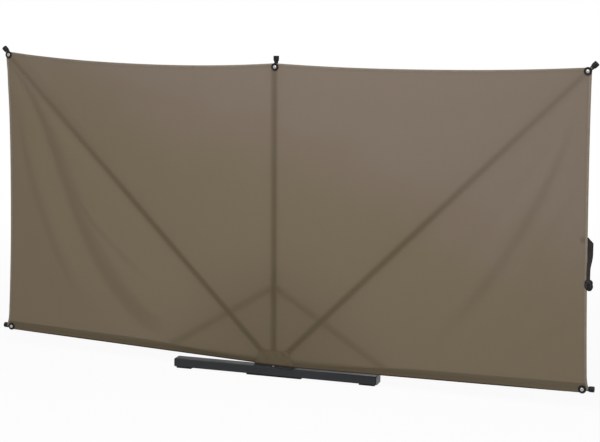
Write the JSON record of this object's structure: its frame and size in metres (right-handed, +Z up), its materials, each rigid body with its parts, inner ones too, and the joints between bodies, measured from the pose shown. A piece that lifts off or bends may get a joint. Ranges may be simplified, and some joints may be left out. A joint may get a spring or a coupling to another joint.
{
  "type": "fan-folding privacy screen",
  "caption": "Free-standing privacy screen: a taupe fabric panel on poles that fan out from a hub over a floor bar and fold up to the middle pole.",
  "frame": {"origin": "on the floor under the middle pole, in the middle of the floor bar", "axes": "+Z up, +X to the right as the fabric's front is seen, the fabric faces -Y"},
  "size_m": [3.0004, 0.1332, 1.513],
  "materials": {
    "powder_coat": "fine matt anthracite powder coat",
    "pole_aluminium": "satin grey anodised",
    "black_plastic": "fine matt black moulded",
    "pad_rubber": "matt black",
    "zinc_steel": "bright zinc",
    "screen_fabric": "taupe coated polyester, plain weave",
    "patch_fabric": "darker taupe reinforcing fabric",
    "webbing": "black woven webbing"
  },
  "bodies": {
    "stand": {"base_bar": "powder_coat", "base_end_caps": "black_plastic", "foot_pads": "pad_rubber", "hub_foot_plate": "powder_coat", "hub_front_plate": "powder_coat", "hub_back_plate": "powder_coat", "hub_fasteners": "zinc_steel", "hub_patch": "patch_fabric", "centre_pole_lower": "pole_aluminium", "centre_pole_upper": "pole_aluminium", "centre_tip_cap": "black_plastic", "centre_eyelet": "black_plastic", "centre_stud": "zinc_steel", "fabric_upper_left": "screen_fabric", "fabric_upper_right": "screen_fabric"},
    "diagonal_left": {"diagonal_lower_left": "pole_aluminium", "diagonal_upper_left": "pole_aluminium", "diagonal_tip_cap_left": "black_plastic", "diagonal_eyelet_left": "black_plastic", "diagonal_stud_left": "zinc_steel"},
    "diagonal_right": {"diagonal_lower_right": "pole_aluminium", "diagonal_upper_right": "pole_aluminium", "diagonal_tip_cap_right": "black_plastic", "diagonal_eyelet_right": "black_plastic", "diagonal_stud_right": "zinc_steel"},
    "wing_left": {"bottom_pole_lower_left": "pole_aluminium", "bottom_pole_upper_left": "pole_aluminium", "bottom_tip_cap_left": "black_plastic", "bottom_eyelet_left": "black_plastic", "bottom_stud_left": "zinc_steel", "strut_bracket_left": "black_plastic", "fabric_lower_left": "screen_fabric"},
    "wing_right": {"bottom_pole_lower_right": "pole_aluminium", "bottom_pole_upper_right": "pole_aluminium", "bottom_tip_cap_right": "black_plastic", "bottom_eyelet_right": "black_plastic", "bottom_stud_right": "zinc_steel", "strut_bracket_right": "black_plastic", "fabric_lower_right": "screen_fabric", "strap_webbing": "webbing", "strap_buckle": "black_plastic"},
    "runner": {"runner": "black_plastic", "runner_knob": "black_plastic"},
    "strut_left": {"strut_left": "pole_aluminium"},
    "strut_right": {"strut_right": "pole_aluminium"}
  },
  "joints": [
    {"name": "wing_left_fold", "type": "hinge", "parent": "stand", "child": "wing_left", "pos_m": [-0.06, 0, 0.069], "axis": [0, 1, 0], "range_deg": [0, 84.72], "deforming": ["fabric_lower_left"]},
    {"name": "wing_right_fold", "type": "hinge", "parent": "stand", "child": "wing_right", "pos_m": [0.06, 0, 0.069], "axis": [0, -1, 0], "range_deg": [0, 84.72], "deforming": ["fabric_lower_right", "strap_webbing", "strap_buckle"]},
    {"name": "diagonal_left_fold", "type": "hinge", "parent": "stand", "child": "diagonal_left", "pos_m": [-0.03, 0, 0.082], "axis": [0, 1, 0], "range_deg": [0, 43.25], "deforming": ["fabric_upper_left"]},
    {"name": "diagonal_right_fold", "type": "hinge", "parent": "stand", "child": "diagonal_right", "pos_m": [0.03, 0, 0.082], "axis": [0, -1, 0], "range_deg": [0, 43.25], "deforming": ["fabric_upper_right"]},
    {"name": "runner_slide", "type": "slide", "parent": "stand", "child": "runner", "axis": [0, 0, 1], "range_m": [0, 0.80152]},
    {"name": "strut_left_swing", "type": "hinge", "parent": "runner", "child": "strut_left", "pos_m": [-0.02, 0, 0.416], "axis": [0, -1, 0], "range_deg": [0, 51.86]},
    {"name": "strut_right_swing", "type": "hinge", "parent": "runner", "child": "strut_right", "pos_m": [0.02, 0, 0.416], "axis": [0, 1, 0], "range_deg": [0, 51.86]}
  ],
  "couplings": [
    {"joint": "wing_right_fold", "follows": "wing_left_fold", "ratio": 1},
    {"joint": "diagonal_left_fold", "follows": "wing_left_fold", "ratio": 0.51051},
    {"joint": "diagonal_right_fold", "follows": "wing_left_fold", "ratio": 0.51051},
    {"joint": "runner_slide", "follows": "wing_left_fold", "m_per_rad": 0.54206},
    {"joint": "strut_left_swing", "follows": "wing_left_fold", "ratio": 0.61216},
    {"joint": "strut_right_swing", "follows": "wing_left_fold", "ratio": 0.61216}
  ]
}
